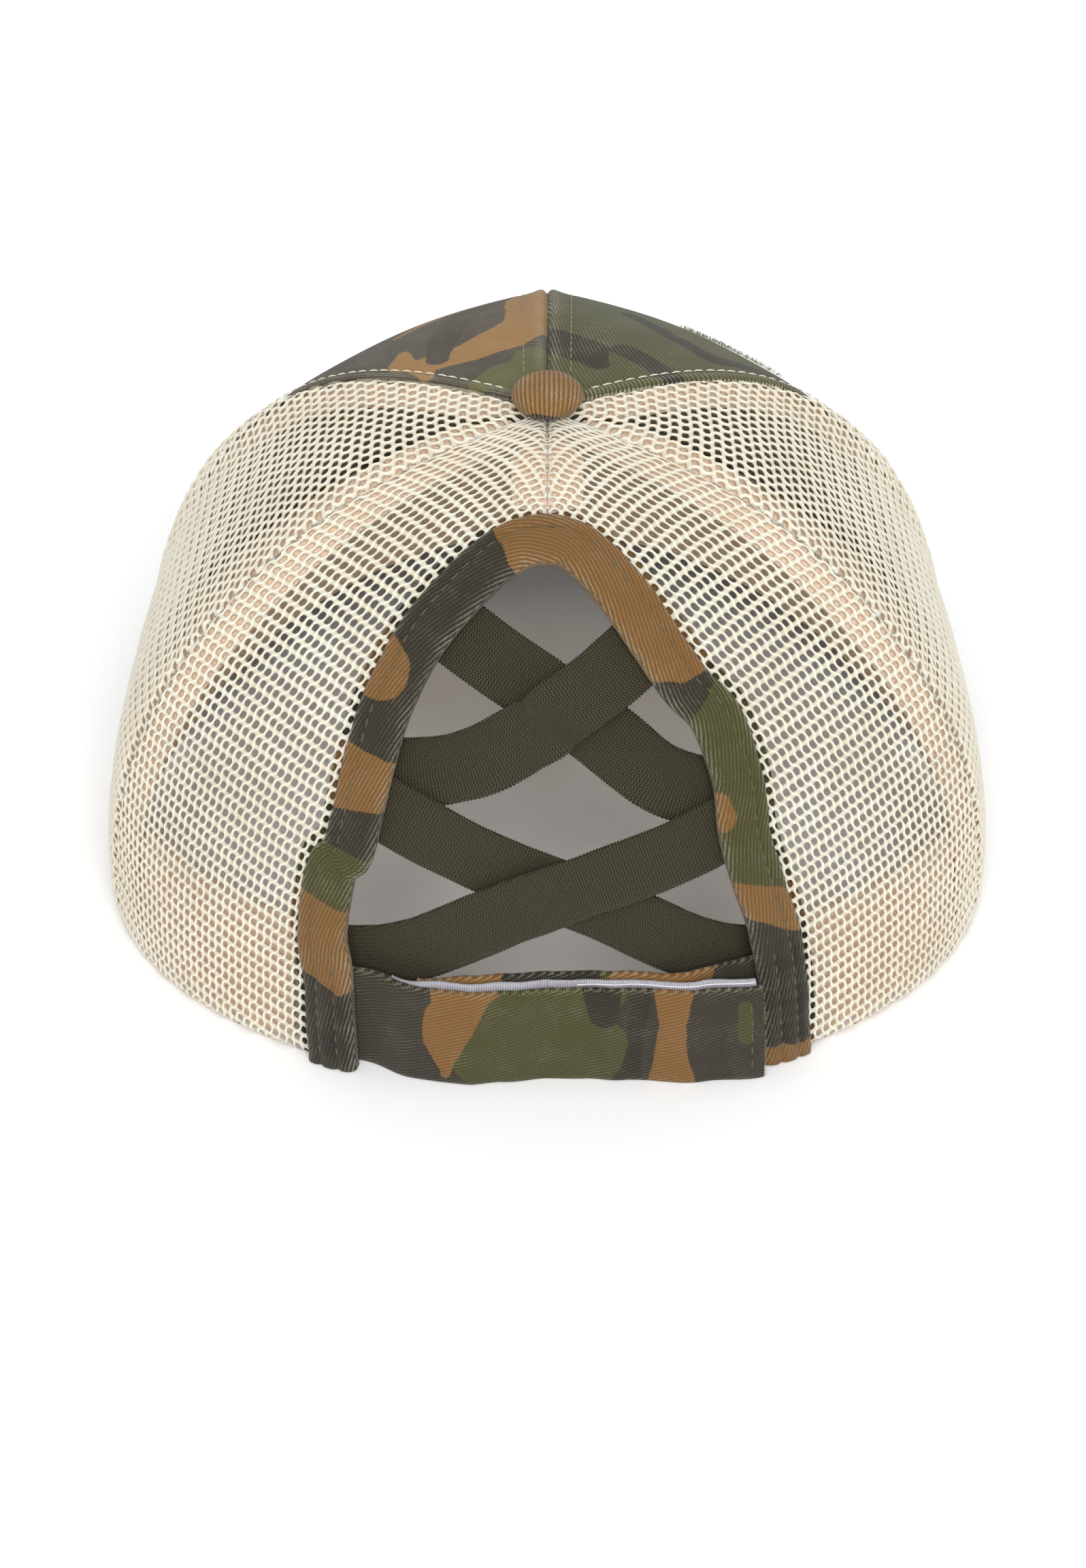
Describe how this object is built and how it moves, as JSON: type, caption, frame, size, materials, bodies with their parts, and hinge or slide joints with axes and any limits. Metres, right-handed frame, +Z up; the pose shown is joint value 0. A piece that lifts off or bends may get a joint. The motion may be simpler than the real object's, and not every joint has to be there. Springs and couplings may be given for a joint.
{
  "type": "ponytail baseball cap",
  "caption": "Baseball cap with printed twill front panels and curved peak, mesh sides and back, and a bound ponytail arch crossed by elastic straps over a fastened strap closure.",
  "frame": {"origin": "the middle of the cap's footprint, on the surface that it stands on", "axes": "+Z up, +Y the way the wearer faces, towards the peak, +X to the wearer's right"},
  "size_m": [0.1916, 0.2378, 0.1247],
  "materials": {
    "printed_twill": "washed cotton twill printed in olive, ochre and charcoal patches",
    "cream_mesh": "open knitted polyester mesh",
    "olive_elastic": "woven elastic webbing",
    "hook_tape": "ribbed nylon fastening tape",
    "inner_tape": "plain woven cotton tape"
  },
  "bodies": {
    "root": {"front_panel_left": "printed_twill", "front_panel_right": "printed_twill", "side_mesh_left": "cream_mesh", "side_mesh_right": "cream_mesh", "rear_mesh_left": "cream_mesh", "rear_mesh_right": "cream_mesh", "opening_binding": "printed_twill", "elastic_strap_upper_back": "olive_elastic", "elastic_strap_upper_front": "olive_elastic", "elastic_strap_lower_back": "olive_elastic", "elastic_strap_lower_front": "olive_elastic", "closure_strap_outer": "printed_twill", "closure_hook_tape": "hook_tape", "closure_strap_inner": "printed_twill", "sweatband": "inner_tape", "seam_tape_back": "inner_tape", "seam_tape_left": "inner_tape", "seam_tape_right": "inner_tape", "seam_tape_front_left": "inner_tape", "seam_tape_front_right": "inner_tape", "peak": "printed_twill", "top_button": "printed_twill"}
  },
  "joints": []
}
